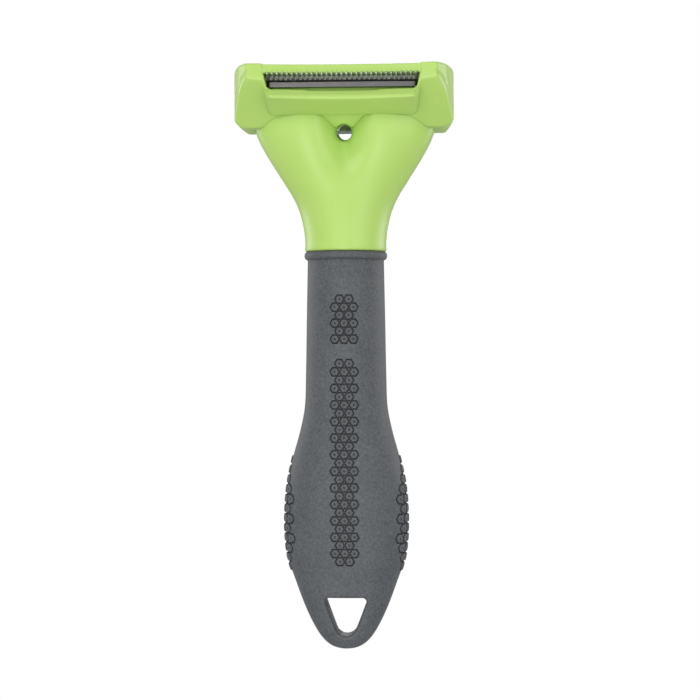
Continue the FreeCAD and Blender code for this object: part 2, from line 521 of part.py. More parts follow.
def thumb_button():
    """Hollow thumb button with a lower lip; ribs run down its face and the front of its lip."""
    outer = button_prism(UPRIGHT_BACK, BUTTON_BACK, BUTTON_BOTTOM, BUTTON_TOP)
    lip = button_prism(BUTTON_LIP_FRONT, BUTTON_BACK, BUTTON_LIP, BUTTON_TOP)
    side = across_x([(UPRIGHT_BACK - 1, BUTTON_LIP), (BUTTON_BACK, BUTTON_LIP), (BUTTON_BACK, BUTTON_REAR_TOP),
                     (UPRIGHT_BACK + 5, BUTTON_TOP), (UPRIGHT_BACK - 1, BUTTON_TOP)],
                    [0, BUTTON_LIP_RADIUS, BUTTON_REAR_RADIUS, 0, 0], FAR)
    hollow = button_prism(UPRIGHT_BACK, BUTTON_LIP_FRONT + 1.5, BUTTON_BOTTOM, BUTTON_TOP, BUTTON_WALL)
    pillars = [rod(1.9, Vector(x, UPRIGHT_BACK, BUTTON_SCREW_Z), Y_AXIS, 12.5) for x in (-BUTTON_SCREW_X, BUTTON_SCREW_X)]
    button = in_place(outer.fuse(lip).common(side).cut(hollow).fuse(pillars))
    for x in (-BUTTON_SCREW_X, BUTTON_SCREW_X):
        button = button.cut(in_place(rod(SCREW_SHANK, Vector(x, UPRIGHT_BACK, BUTTON_SCREW_Z), Y_AXIS, 6.5)))
    button = button.common(block(-FAR, FAR, -FAR, HALF_DEPTH, 0, 200))
    for k in range(RIBS):
        x = (k - (RIBS - 1) / 2) * 2 * RIB_PITCH - RIB_PITCH / 2
        button = button.cut(block(x, x + RIB_PITCH, HALF_DEPTH - RIB_DEPTH, HALF_DEPTH, 120, 150))
        lip_groove = block(x, x + RIB_PITCH, BUTTON_LIP_FRONT, BUTTON_LIP_FRONT + RIB_DEPTH, BUTTON_LIP - 1, BUTTON_BOTTOM)
        button = button.cut(in_place(lip_groove))
    return button.removeSplitter()


def button_screws():
    screws = [pan_screw(Vector(x, UPRIGHT_FRONT, BUTTON_SCREW_Z), (0, 1, 0), 7.5) for x in (-BUTTON_SCREW_X, BUTTON_SCREW_X)]
    return in_place(Part.makeCompound(screws))


# ------------------------------------------------------------------ assembly
def build():
    space = mechanism_space()
    solid_yoke = loft([section(*row) for row in YOKE_SECTIONS])
    inside_head = block(-FAR, FAR, CHIN_BACK, FAR, CAVITY_FLOOR, TOOL_TOP)
    for gap in (inside_head, space, fork_hole(FORK_HOLE_RADIUS)):
        solid_yoke = solid_yoke.cut(gap)
    core = core_envelope()
    return {
        "grip_sleeve": grip_sleeve(core),
        "handle_core": handle_core(core),
        "collar_ring": collar_ring(core),
        "yoke_lock_pin": lock_pin_shape(),
        "neck_yoke": neck_yoke(solid_yoke),
        "head_front_housing": head_front_housing(space, solid_yoke),
        "head_rear_cover": head_rear_cover(space, solid_yoke),
        "housing_screws": housing_screws(),
        "blade": blade(),
        "blade_dowels": blade_dowels(),
        "blade_screws": blade_screws(),
        "guide_pin_left": guide_pin(-1),
        "guide_pin_right": guide_pin(1),
        "return_spring_left": return_spring(-1),
        "return_spring_right": return_spring(1),
        "ejector_bar": ejector_bar(),
        "bar_rivets": bar_rivets(),
        "ejector_carriage": ejector_carriage(),
        "button_screws": button_screws(),
        "thumb_button": thumb_button(),
    }


os.makedirs("parts", exist_ok=True)
for name, shape in build().items():
    shape.exportStep(f"parts/{name}.step")
    box = shape.BoundBox
    print(f"{name:22s} solids {len(shape.Solids)} valid {shape.isValid()} volume {shape.Volume:9.1f} mm3 "
          f"x {box.XMin:.1f}..{box.XMax:.1f} y {box.YMin:.1f}..{box.YMax:.1f} z {box.ZMin:.1f}..{box.ZMax:.1f}")
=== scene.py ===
import bpy
import bmesh
import math
from mathutils import Matrix, Vector


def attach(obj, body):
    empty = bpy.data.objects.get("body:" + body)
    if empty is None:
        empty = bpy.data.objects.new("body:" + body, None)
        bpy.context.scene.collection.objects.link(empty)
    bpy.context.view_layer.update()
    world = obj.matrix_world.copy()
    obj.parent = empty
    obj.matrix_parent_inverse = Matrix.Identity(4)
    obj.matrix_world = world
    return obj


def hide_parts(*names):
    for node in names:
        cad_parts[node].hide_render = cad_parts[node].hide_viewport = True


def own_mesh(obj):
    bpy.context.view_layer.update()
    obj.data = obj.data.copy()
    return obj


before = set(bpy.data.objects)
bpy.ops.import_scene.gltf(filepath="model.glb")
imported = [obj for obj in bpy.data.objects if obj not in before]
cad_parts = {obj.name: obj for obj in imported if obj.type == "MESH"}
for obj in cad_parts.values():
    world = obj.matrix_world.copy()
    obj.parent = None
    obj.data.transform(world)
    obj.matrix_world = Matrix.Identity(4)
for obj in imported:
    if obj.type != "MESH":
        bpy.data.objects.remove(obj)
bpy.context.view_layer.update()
mm = 0.001
mergeGap = 0.002 * mm         # vertices closer than this are one
mergeGapCad = 0.001 * mm


# ---------- small helpers ----------

def hexColour(code):
    # sRGB hex to the linear values that the shader wants
    parts = [int(code[i:i + 2], 16) / 255 for i in (1, 3, 5)]
    return tuple(p / 12.92 if p <= 0.04045 else ((p + 0.055) / 1.055) ** 2.4 for p in parts) + (1.0,)


def clamp(value):
    return min(1.0, max(0.0, value))


def addNode(tree, kind, inputs=None, **settings):
    # one node with its settings; an input is a value, or an output socket to link from
    node = tree.nodes.new(kind)
    for name, value in settings.items():
        setattr(node, name, value)
    for key, value in (inputs or {}).items():
        if isinstance(value, bpy.types.NodeSocket):
            tree.links.new(value, node.inputs[key])
        else:
            node.inputs[key].default_value = value
    return node


def startMaterial(name):
    material = bpy.data.materials.new(name)
    material.use_nodes = True
    tree = material.node_tree
    tree.nodes.clear()
    coords = addNode(tree, "ShaderNodeTexCoord").outputs["Object"]
    return material, tree, coords


def finishMaterial(material, tree, inputs):
    shader = addNode(tree, "ShaderNodeBsdfPrincipled", inputs)
    addNode(tree, "ShaderNodeOutputMaterial", {"Surface": shader.outputs[0]})
    return material


def perMetre(size):
    # texture scale for a pattern whose grains are size mm across
    return 1.0 / (size * mm)


def newObject(name, bm):
    mesh = bpy.data.meshes.new(name)
    bm.to_mesh(mesh)
    bm.free()
    piece = bpy.data.objects.new(name, mesh)
    bpy.context.scene.collection.objects.link(piece)
    return piece


def dressPiece(piece, material, replaced=()):
    # material, body, slot and the CAD nodes it stands for; every new piece rides the tool's body
    piece.data.materials.clear()
    piece.data.materials.append(material)
    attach(piece, "tool_body")
    if replaced:
        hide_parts(*replaced)


def shadeSmooth(piece, sharpAngle=35.0):
    bm = bmesh.new()
    bm.from_mesh(piece.data)
    for face in bm.faces:
        face.smooth = True
    for edge in bm.edges:
        if len(edge.link_faces) == 2:
            edge.smooth = edge.calc_face_angle(0.0) < math.radians(sharpAngle)
    bm.to_mesh(piece.data)
    bm.free()


def smoothVerts(bm, verts, passes):
    for _ in range(passes):
        bmesh.ops.smooth_vert(bm, verts=verts, factor=0.5, use_axis_x=True, use_axis_y=True, use_axis_z=True)


def applyModifiers(piece):
    bpy.context.view_layer.update()
    evaluated = piece.evaluated_get(bpy.context.evaluated_depsgraph_get())
    mesh = bpy.data.meshes.new_from_object(evaluated)
    mesh.name = piece.name
    piece.modifiers.clear()
    piece.data = mesh


def cutAway(piece, cutter):
    # exact boolean; the cutter may overlap itself
    cut = piece.modifiers.new("cut", "BOOLEAN")
    cut.operation = "DIFFERENCE"
    cut.solver = "EXACT"
    cut.use_self = True
    cut.object = cutter
    applyModifiers(piece)
    bpy.data.objects.remove(cutter)


def ringEdges(ring):
    # edges whose two ends both belong to the ring
    members = set(ring)
    return list({e for v in ring for e in v.link_edges if all(w in members for w in e.verts)})


def extrudeRing(bm, ring):
    # the extruded copy of each vertex, in the ring's own order
    made = bmesh.ops.extrude_edge_only(bm, edges=ringEdges(ring))["geom"]
    fresh = {g for g in made if isinstance(g, bmesh.types.BMVert)}
    return [next(e.other_vert(v) for e in v.link_edges if e.other_vert(v) in fresh) for v in ring]


# ---------- camera and light ----------

cameraSpec = {
    "distance": 470.0,        # mm from the handle's axis
    "height": 76.4,           # mm
    "fromRight": 2.9,         # degrees towards +X
    "aimX": 1.0,              # mm
    "roll": -0.15,            # degrees
    "lens": 94.4,             # on a 36 mm sensor
}


def makeCamera(spec):
    angle = math.radians(spec["fromRight"])
    away = Vector((math.sin(angle), -math.cos(angle), 0)) * spec["distance"]
    place = (away + Vector((0, 0, spec["height"]))) * mm
    aim = Vector((spec["aimX"], 0, spec["height"])) * mm
    data = bpy.data.cameras.new("camera")
    data.lens = spec["lens"]
    data.sensor_width = 36.0
    data.clip_start = 0.01
    camera = bpy.data.objects.new("camera", data)
    roll = Matrix.Rotation(math.radians(spec["roll"]), 3, "Z")
    turn = (aim - place).to_track_quat("-Z", "Y").to_matrix() @ roll
    camera.matrix_world = Matrix.Translation(place) @ turn.to_4x4()
    bpy.context.scene.collection.objects.link(camera)
    bpy.context.scene.camera = camera


# place and size in mm, power in watts
lightSpec = {
    "key": {"place": (-260, -420, 330), "size": 300, "power": 0.72},
    "fill": {"place": (330, -400, 160), "size": 320, "power": 0.5},
    "low": {"place": (-40, -480, -120), "size": 320, "power": 1.15},
    "top": {"place": (0, -60, 520), "size": 360, "power": 0.25},
    "rimLeft": {"place": (-430, 240, 140), "size": 280, "power": 0.5},
    "rimRight": {"place": (430, 240, 140), "size": 280, "power": 0.6},
    "back": {"place": (0, 480, 260), "size": 320, "power": 0.7},
}
lightAim = Vector((0, 0, 80)) * mm
roomSpec = {
    "white": (1.0, 1.0, 1.0, 1.0),
    "ambient": 0.42,          # strength of the white room on the object
    "floorHalf": 1.5,         # m
    "floorDrop": 0.5,         # mm under the tool
}


def makeLights(spec):
    for name, row in spec.items():
        data = bpy.data.lights.new(name, "AREA")
        data.shape = "DISK"
        data.size = row["size"] * mm
        data.energy = row["power"]
        light = bpy.data.objects.new(name, data)
        place = Vector(row["place"]) * mm
        turn = (lightAim - place).to_track_quat("-Z", "Y").to_matrix()
        light.matrix_world = Matrix.Translation(place) @ turn.to_4x4()
        bpy.context.scene.collection.objects.link(light)


def makeRoom(spec):
    # white behind the tool, softer white on it
    world = bpy.data.worlds.new("room")
    bpy.context.scene.world = world
    world.use_nodes = True
    tree = world.node_tree
    tree.nodes.clear()
    path = addNode(tree, "ShaderNodeLightPath")
    seen = addNode(tree, "ShaderNodeBackground", {"Color": spec["white"], "Strength": 1.0})
    lit = addNode(tree, "ShaderNodeBackground", {"Color": spec["white"], "Strength": spec["ambient"]})
    mix = addNode(tree, "ShaderNodeMixShader",
                  {0: path.outputs["Is Camera Ray"], 1: lit.outputs[0], 2: seen.outputs[0]})
    addNode(tree, "ShaderNodeOutputWorld", {"Surface": mix.outputs[0]})
    bpy.context.scene.view_settings.view_transform = "Standard"


def makeFloor(spec):
    # pale paper that glows, so that it stays white under the tool
    material, tree, coords = startMaterial("whitePaper")
    glow = addNode(tree, "ShaderNodeEmission", {"Color": spec["white"], "Strength": 1.0})
    addNode(tree, "ShaderNodeOutputMaterial", {"Surface": glow.outputs[0]})
    bm = bmesh.new()
    bmesh.ops.create_grid(bm, x_segments=1, y_segments=1, size=spec["floorHalf"])
    bmesh.ops.translate(bm, vec=(0, 0, -spec["floorDrop"] * mm), verts=bm.verts)
    floor = newObject("floor", bm)
    floor.data.materials.append(material)
    floor.visible_diffuse = False
    floor.visible_glossy = False
    floor.visible_shadow = False


makeCamera(cameraSpec)
makeLights(lightSpec)
makeRoom(roomSpec)
makeFloor(roomSpec)
print("camera, lights and floor")


# ---------- materials ----------

greenSpec = {
    # the darker nook green is painted shade, laid into the recesses by an AO mask
    "low": "#b2d668", "high": "#bbdc76", "paintedNookShade": "#7fae3c",
    "cloud": 16.67, "grain": 0.25, "reach": 4.0,      # mm
    "smoothest": 0.34, "roughest": 0.44, "ior": 1.53,
}


def makeGreenAbs(spec):
    # injection-moulded ABS, fine satin: soft broad highlights, a little light in the thin edges
    material, tree, coords = startMaterial("mouldedAbsLime")
    cloud = addNode(tree, "ShaderNodeTexNoise",
                    {"Vector": coords, "Scale": perMetre(spec["cloud"]), "Detail": 2.0})
    colour = addNode(tree, "ShaderNodeMix",
                     {0: cloud.outputs["Fac"], 6: hexColour(spec["low"]), 7: hexColour(spec["high"])},
                     data_type="RGBA")
    # painted shade: an AO mask deepens the green in the nooks, standing in for the shade there and the green
    # light the plastic throws on itself
    paintedNookShade = addNode(tree, "ShaderNodeAmbientOcclusion", {"Distance": spec["reach"] * mm}, samples=4)
    withPaintedShade = addNode(tree, "ShaderNodeMix",
                   {0: paintedNookShade.outputs["AO"], 6: hexColour(spec["paintedNookShade"]), 7: colour.outputs[2]},
                   data_type="RGBA")
    grain = addNode(tree, "ShaderNodeTexNoise",
                    {"Vector": coords, "Scale": perMetre(spec["grain"]), "Detail": 1.0})
    rough = addNode(tree, "ShaderNodeMapRange",
                    {"Value": grain.outputs["Fac"], "To Min": spec["smoothest"], "To Max": spec["roughest"]})
    bump = addNode(tree, "ShaderNodeBump",
                   {"Height": grain.outputs["Fac"], "Strength": 0.05, "Distance": 0.02 * mm})
    return finishMaterial(material, tree, {
        "Base Color": withPaintedShade.outputs[2], "Roughness": rough.outputs[0], "IOR": spec["ior"],
        "Normal": bump.outputs[0],
        "Subsurface Weight": 0.12, "Subsurface Radius": (0.9, 1.2, 0.3), "Subsurface Scale": 1.0 * mm})


rubberSpec = {
    # the groove colour is painted shade, laid into the grooves between the cells by an AO mask
    "dark": "#44484b", "light": "#5f6266", "groove": "#232527",
    "cloud": 7.143, "speckle": 0.5882, "grain": 0.303, "reach": 1.0,     # mm
    "smoothest": 0.55, "roughest": 0.7, "ior": 1.5,
}


def makeGripRubber(spec):
    # thermoplastic rubber from a spark-eroded mould: matt, with a fine even grain
    material, tree, coords = startMaterial("mouldedTpeGrey")
    cloud = addNode(tree, "ShaderNodeTexNoise",
                    {"Vector": coords, "Scale": perMetre(spec["cloud"]), "Detail": 4.0})
    fine = addNode(tree, "ShaderNodeTexNoise",
                   {"Vector": coords, "Scale": perMetre(spec["speckle"]), "Detail": 3.0})
    grain = addNode(tree, "ShaderNodeTexVoronoi", {"Vector": coords, "Scale": perMetre(spec["grain"])})
    tone = addNode(tree, "ShaderNodeMix", {0: 0.8, 2: cloud.outputs["Fac"], 3: fine.outputs["Fac"]})
    speckle = addNode(tree, "ShaderNodeMapRange",
                      {"Value": tone.outputs[0], "From Min": 0.33, "From Max": 0.67})
    colour = addNode(tree, "ShaderNodeMix",
                     {0: speckle.outputs[0], 6: hexColour(spec["dark"]), 7: hexColour(spec["light"])},
                     data_type="RGBA")
    # painted shade: an AO mask darkens the grooves between the cells towards near black, standing in for the
    # shade that falls in them
    paintedNookShade = addNode(tree, "ShaderNodeAmbientOcclusion", {"Distance": spec["reach"] * mm}, samples=4)
    unshadedShare = addNode(tree, "ShaderNodeMapRange",
                   {"Value": paintedNookShade.outputs["AO"], "From Min": 0.5, "From Max": 0.94})
    withPaintedShade = addNode(tree, "ShaderNodeMix",
                   {0: unshadedShare.outputs[0], 6: hexColour(spec["groove"]), 7: colour.outputs[2]},
                   data_type="RGBA")
    bump = addNode(tree, "ShaderNodeBump",
                   {"Height": grain.outputs["Distance"], "Strength": 0.35, "Distance": 0.04 * mm})
    rough = addNode(tree, "ShaderNodeMapRange",
                    {"Value": fine.outputs["Fac"], "To Min": spec["smoothest"], "To Max": spec["roughest"]})
    return finishMaterial(material, tree, {
        "Base Color": withPaintedShade.outputs[2], "Roughness": rough.outputs[0], "IOR": spec["ior"],
        "Normal": bump.outputs[0],
        "Sheen Weight": 0.08, "Sheen Roughness": 0.5})


plasticSpec = {"cloud": 3.333, "grain": 0.25}         # mm


def makeHardPlastic(name, dark, light, roughness):
    # moulded acetal or nylon: plain, slightly waxy
    material, tree, coords = startMaterial(name)
    cloud = addNode(tree, "ShaderNodeTexNoise",
                    {"Vector": coords, "Scale": perMetre(plasticSpec["cloud"]), "Detail": 2.0})
    colour = addNode(tree, "ShaderNodeMix",
                     {0: cloud.outputs["Fac"], 6: hexColour(dark), 7: hexColour(light)},
                     data_type="RGBA")
    grain = addNode(tree, "ShaderNodeTexNoise",
                    {"Vector": coords, "Scale": perMetre(plasticSpec["grain"]), "Detail": 1.0})
    bump = addNode(tree, "ShaderNodeBump",
                   {"Height": grain.outputs["Fac"], "Strength": 0.08, "Distance": 0.02 * mm})
    rough = addNode(tree, "ShaderNodeMapRange",
                    {"Value": grain.outputs["Fac"], "To Min": roughness - 0.05, "To Max": roughness + 0.05})
    return finishMaterial(material, tree, {
        "Base Color": colour.outputs[2], "Roughness": rough.outputs[0], "IOR": 1.49,
        "Normal": bump.outputs[0]})


steelLine = 0.1111            # mm between working lines


def makeSteel(name, dark, light, roughness, stretch):
    # steel with fine working lines; a small stretch along an axis draws them out that way
    material, tree, coords = startMaterial(name)
    lined = addNode(tree, "ShaderNodeMapping", {"Vector": coords, "Scale": stretch})
    lines = addNode(tree, "ShaderNodeTexNoise",
                    {"Vector": lined.outputs[0], "Scale": perMetre(steelLine), "Detail": 2.0})
    colour = addNode(tree, "ShaderNodeMix",
                     {0: lines.outputs["Fac"], 6: hexColour(dark), 7: hexColour(light)},
                     data_type="RGBA")
    rough = addNode(tree, "ShaderNodeMapRange",
                    {"Value": lines.outputs["Fac"], "To Min": roughness - 0.08, "To Max": roughness + 0.08})
    bump = addNode(tree, "ShaderNodeBump",
                   {"Height": lines.outputs["Fac"], "Strength": 0.12, "Distance": 0.01 * mm})
    return finishMaterial(material, tree, {
        "Base Color": colour.outputs[2], "Metallic": 1.0, "Roughness": rough.outputs[0],
        "Normal": bump.outputs[0]})


greenAbs = makeGreenAbs(greenSpec)
gripRubber = makeGripRubber(rubberSpec)
greyAcetal = makeHardPlastic("mouldedAcetalGrey", "#8b8e8c", "#a0a3a0", 0.45)
blackNylon = makeHardPlastic("mouldedNylonBlack", "#1d1d1f", "#26262a", 0.5)
bladeSteel = makeSteel("groundStainless", "#c4c5c1", "#eeeeea", 0.5, (1.0, 0.08, 0.08))
barSteel = makeSteel("rolledStainlessStrip", "#7c797b", "#989598", 0.38, (0.05, 1.0, 1.0))
wireSteel = makeSteel("drawnSpringWire", "#8c8c8c", "#b0b0b0", 0.3, (1.0, 1.0, 1.0))
zincSteel = makeSteel("zincPlatedSteel", "#a9abb0", "#c9cbd0", 0.32, (1.0, 1.0, 1.0))
print("materials")


# ---------- grip ----------

gripSpec = {
    # height, half width, half depth, squareness (2 is an ellipse), mm
    "rows": [(0.0, 0.0, 0.0, 2.0), (0.5, 3.0, 2.0, 2.0), (1.6, 4.9, 3.0, 2.1), (3.4, 6.6, 3.9, 2.2),
             (6.5, 8.5, 4.8, 2.3), (11.0, 10.6, 5.7, 2.35), (17.0, 12.85, 7.2, 2.3), (23.0, 14.85, 8.8, 2.2),
             (29.0, 15.6, 9.8, 2.15), (35.0, 15.65, 10.35, 2.1), (42.0, 15.1, 10.6, 2.1),
             (49.0, 13.65, 10.55, 2.05), (56.0, 11.75, 10.3, 2.0), (62.0, 10.6, 10.1, 2.0),
             (70.0, 10.3, 10.0, 2.0), (84.0, 10.05, 9.9, 2.0), (99.4, 9.75, 9.75, 2.0)],
    "tailTop": 17.0,          # below this the mesh runs in rings round the hanging hole
    "columns": 48,            # across the front half
    "silhouette": 72,         # round the butt
    "wallRings": 4, "rimRings": 6, "tailRings": 22, "upperRings": 78,
    "rim": 0.9,               # rounding of the hanging hole's edges
    # the hanging hole: round bottom, straight sides (degrees from upright), flat top with round corners
    "holeTop": 13.6, "holeRadius": 2.8, "holeCentre": 6.4, "holeSide": 21.0, "holeCorner": 1.1,
    "holeMiddle": 9.4,        # the rings' rays start here
    "arcSteps": 12,
}


def handleRow(z):
    # half width, half depth and squareness at a height, smooth through the rows; spaced by the
    # square root of the height so that the butt is round
    rows = gripSpec["rows"]
    last = len(rows) - 1
    s = math.sqrt(max(z, 0.0))
    keys = [math.sqrt(r[0]) for r in rows]
    i = max(k for k in range(last) if keys[k] <= s or k == 0)
    t = min(1.0, (s - keys[i]) / (keys[i + 1] - keys[i]))
    values = []
    for c in (1, 2, 3):
        near = [min(max(i + d, 0), last) for d in (-1, 0, 1, 2)]
        p = [rows[n][c] for n in near]
        k = [keys[n] for n in near]
        span = k[2] - k[1]
        before = (p[2] - p[0]) / (k[2] - k[0]) * span if i > 0 else p[2] - p[1]
        after = (p[3] - p[1]) / (k[3] - k[1]) * span if i + 2 <= last else p[2] - p[1]
        values.append((2 * t ** 3 - 3 * t * t + 1) * p[1] + (t ** 3 - 2 * t * t + t) * before
                      + (3 * t * t - 2 * t ** 3) * p[2] + (t ** 3 - t * t) * after)
    return values


def depthAt(x, z):
    # how far the handle's surface stands in front of its middle plane
    halfX, halfY, square = handleRow(z)
    share = min(1.0, abs(x) / halfX) if halfX > 0 else 1.0
    return halfY * (1 - share ** square) ** (1 / square)


def holeOutline():
    # the hanging hole: a triangle, point down, with rounded corners
    spec = gripSpec
    side = math.radians(spec["holeSide"])
    radius, corner = spec["holeRadius"], spec["holeCorner"]
    apex = spec["holeCentre"] - radius / math.sin(side)
    cornerZ = spec["holeTop"] - corner
    cornerX = (cornerZ - apex) * math.tan(side) - corner / math.cos(side)
    # middle of each arc, its radius, first and last angle
    arcs = [(0.0, spec["holeCentre"], radius, 180 + spec["holeSide"], 360 - spec["holeSide"]),
            (cornerX, cornerZ, corner, -spec["holeSide"], 90),
            (-cornerX, cornerZ, corner, 90, 180 + spec["holeSide"])]
    points = []
    for middleX, middleZ, r, first, final in arcs:
        for k in range(spec["arcSteps"] + 1):
            a = math.radians(first + (final - first) * k / spec["arcSteps"])
            points.append((middleX + r * math.cos(a), middleZ + r * math.sin(a)))
    return points


def holeEdge(direction, outline):
    # where a ray from the hole's middle meets its outline
    middle = Vector((0.0, gripSpec["holeMiddle"]))
    tiny = 1e-6
    for a, b in zip(outline, outline[1:] + outline[:1]):
        a, b = Vector(a) - middle, Vector(b) - middle
        turn = b - a
        det = direction.y * turn.x - direction.x * turn.y
        if abs(det) < tiny * tiny:
            continue
        reach = (a.y * turn.x - a.x * turn.y) / det
        along = (direction.x * a.y - direction.y * a.x) / det
        if reach > 0 and -tiny <= along <= 1 + tiny:
            return middle + direction * reach
    raise ValueError("the hole's outline has a gap")


def rowX(angle, halfX, square):
    c = math.cos(angle)
    return halfX * math.copysign(abs(c) ** (2 / square), c)


def tailBorder():
    # outer ring of the tail: across the front, then round the butt
    spec = gripSpec
    halfX, _, square = handleRow(spec["tailTop"])
    border = [Vector((rowX(math.pi * (1 - k / spec["columns"]), halfX, square), spec["tailTop"]))
              for k in range(spec["columns"] + 1)]
    for k in range(1, spec["silhouette"]):
        a = math.pi * k / spec["silhouette"]
        z = spec["tailTop"] * math.cos(a) ** 2
        border.append(Vector((math.copysign(handleRow(z)[0], spec["silhouette"] / 2 - k - 0.5), z)))
    return border


def makeGrip():
    # front half: rings from inside the hanging hole out to the border, then rows up to the collar
    spec = gripSpec
    border = tailBorder()
    outline = holeOutline()
    middle = Vector((0.0, spec["holeMiddle"]))
    inner = [holeEdge((p - middle).normalized(), outline) for p in border]
    wall, rim, rings = spec["wallRings"], spec["rimRings"], spec["tailRings"]
    total = wall + rim + rings
    bm = bmesh.new()
    ring = bmesh.ops.create_circle(bm, segments=len(border), radius=1.0)["verts"]
    for step in range(total + 1):
        if step:
            ring = extrudeRing(bm, ring)
        for k, vert in enumerate(ring):
            a, b = inner[k], border[k]
            start = spec["rim"] / (b - a).length
            if step <= wall:
                x, z = a
                y = (depthAt(x, z) - spec["rim"]) * step / wall
            elif step <= wall + rim:
                turn = math.pi / 2 * (step - wall) / rim
                x, z = a + (b - a) * start * (1 - math.cos(turn))
                y = depthAt(x, z) - spec["rim"] * (1 - math.sin(turn))
            else:
                share = math.sin(math.pi / 2 * (step - wall - rim) / rings)
                x, z = a + (b - a) * (start + (1 - start) * share)
                y = depthAt(x, z)
            if step == total and k > spec["columns"]:
                y = 0.0
            vert.co = Vector((x, -y, z)) * mm
    growUpper(bm, ring[:spec["columns"] + 1])
    bmesh.ops.mirror(bm, geom=bm.verts[:] + bm.edges[:] + bm.faces[:], axis="Y", merge_dist=mergeGap)
    bmesh.ops.remove_doubles(bm, verts=bm.verts, dist=mergeGap)
    bmesh.ops.holes_fill(bm, edges=[e for e in bm.edges if e.is_boundary], sides=0)
    bmesh.ops.recalc_face_normals(bm, faces=bm.faces)
    return bm


def growUpper(bm, chain):
    # the grip above the tail, one row of quads at a time up to the collar
    spec = gripSpec
    top = spec["rows"][-1][0]
    for step in range(1, spec["upperRings"] + 1):
        z = spec["tailTop"] + (top - spec["tailTop"]) * step / spec["upperRings"]
        halfX, halfY, square = handleRow(z)
        chain = extrudeRing(bm, chain)
        for k, vert in enumerate(chain):
            a = math.pi * (1 - k / spec["columns"])
            y = halfY * abs(math.sin(a)) ** (2 / square)
            vert.co = Vector((rowX(a, halfX, square), -y, z)) * mm


# ---------- hexagonal cells of the grip ----------

cellSpec = {
    # the groove's outside, corner to middle in mm: it opens outwards a little
    "grooveIn": 1.37, "grooveOut": 1.57,
    "depth": 0.44,            # of the groove
    "toolTall": 1.6,
    # the raised middle: radius and height at each step
    "profile": [(1.12, -0.54), (1.05, -0.14), (0.93, 0.0), (0.651, 0.06), (0.357, 0.06), (0.168, -0.16)],
    "groups": [
        # top row's height, cells in each row, pitch across, pitch down
        {"faces": ["front", "back"], "top": 89.15, "rows": [2, 3] * 3, "across": 2.34, "down": 2.0},
        {"faces": ["front", "back"], "top": 73.0, "rows": [2, 3] * 12 + [2], "across": 2.42, "down": 2.075},
        {"faces": ["left", "right"], "top": 48.5, "rows": [1, 2, 3, 4, 5, 4, 5, 4, 5, 4, 3, 2],
         "across": 2.75, "down": 2.48},
    ],
    "sideScale": 1.08,        # the side cells are larger
    "sideProud": 0.28,        # and stand out of the surface
    "sideBend": 7.6,          # radius of the handle's edge there
    "frontProud": 0.05,
    "probe": 0.05,            # step for reading the surface's slope
}
hexTurn = Matrix.Rotation(math.radians(30), 3, "Z")


def surfacePoint(face, u, v):
    # a point of the handle's surface: u mm across the face, v mm up
    if face in ("front", "back"):
        y = depthAt(u, v)
        return Vector((u, -y if face == "front" else y, v))
    halfX, halfY, square = handleRow(v)
    y = cellSpec["sideBend"] * math.sin(u / cellSpec["sideBend"])
    x = halfX * (1 - (abs(y) / halfY) ** square) ** (1 / square)
    return Vector((-x if face == "left" else x, y, v))


def surfaceFrame(face, u, v):
    # matrix that lays a cell on the surface, its Z outwards
    step = cellSpec["probe"]
    here = surfacePoint(face, u, v)
    across = (surfacePoint(face, u + step, v) - surfacePoint(face, u - step, v)).normalized()
    up = (surfacePoint(face, u, v + step) - surfacePoint(face, u, v - step)).normalized()
    out = across.cross(up).normalized()
    if out.dot(Vector((here.x, here.y, 0))) < 0:
        out = -out
        across = -across
    up = out.cross(across).normalized()
    turn = Matrix((across, up, out)).transposed().to_4x4()
    return Matrix.Translation(here * mm) @ turn @ Matrix.Scale(mm, 4)


def cellPlaces():
    for group in cellSpec["groups"]:
        for row, count in enumerate(group["rows"]):
            for face in group["faces"]:
                for k in range(count):
                    yield face, (k - (count - 1) / 2) * group["across"], group["top"] - row * group["down"]


def cellTool():
    # the prism that sinks one cell's groove
    spec = cellSpec
    bm = bmesh.new()
    bmesh.ops.create_cone(bm, cap_ends=True, segments=6, radius1=spec["grooveIn"],
                          radius2=spec["grooveOut"], depth=spec["toolTall"])
    bmesh.ops.rotate(bm, cent=(0, 0, 0), matrix=hexTurn, verts=bm.verts)
    bmesh.ops.translate(bm, vec=(0, 0, spec["toolTall"] / 2 - spec["depth"]), verts=bm.verts)
    return bm


def cellIsland():
    # the domed middle of one cell with its small dimple
    bm = bmesh.new()
    ring = bmesh.ops.create_circle(bm, segments=6, radius=1.0)["verts"]
    bmesh.ops.rotate(bm, cent=(0, 0, 0), matrix=hexTurn, verts=bm.verts)
    flat = [v.co.copy() for v in ring]
    bottom = list(ring)
    for step, (radius, height) in enumerate(cellSpec["profile"]):
        if step:
            ring = extrudeRing(bm, ring)
        for vert, way in zip(ring, flat):
            vert.co = Vector((way.x * radius, way.y * radius, height))
    bmesh.ops.contextual_create(bm, geom=ring)
    bmesh.ops.contextual_create(bm, geom=bottom)
    bmesh.ops.recalc_face_normals(bm, faces=bm.faces)
    return bm


def scatterCells(source, proud):
    # a copy of the source on every cell's place, as one bmesh
    spec = cellSpec
    unit = bpy.data.meshes.new("unit")
    source.to_mesh(unit)
    source.free()
    bm = bmesh.new()
    for face, u, v in cellPlaces():
        onSide = face in ("left", "right")
        grow = spec["sideScale"] if onSide else 1.0
        lift = (spec["sideProud"] if onSide else spec["frontProud"]) if proud else 0.0
        before = len(bm.verts)
        bm.from_mesh(unit)
        bm.verts.ensure_lookup_table()
        sized = Matrix.Translation((0, 0, lift)) @ Matrix.Diagonal((grow, grow, 1, 1))
        place = surfaceFrame(face, u, v) @ sized
        bmesh.ops.transform(bm, matrix=place, verts=bm.verts[before:])
    bpy.data.meshes.remove(unit)
    return bm


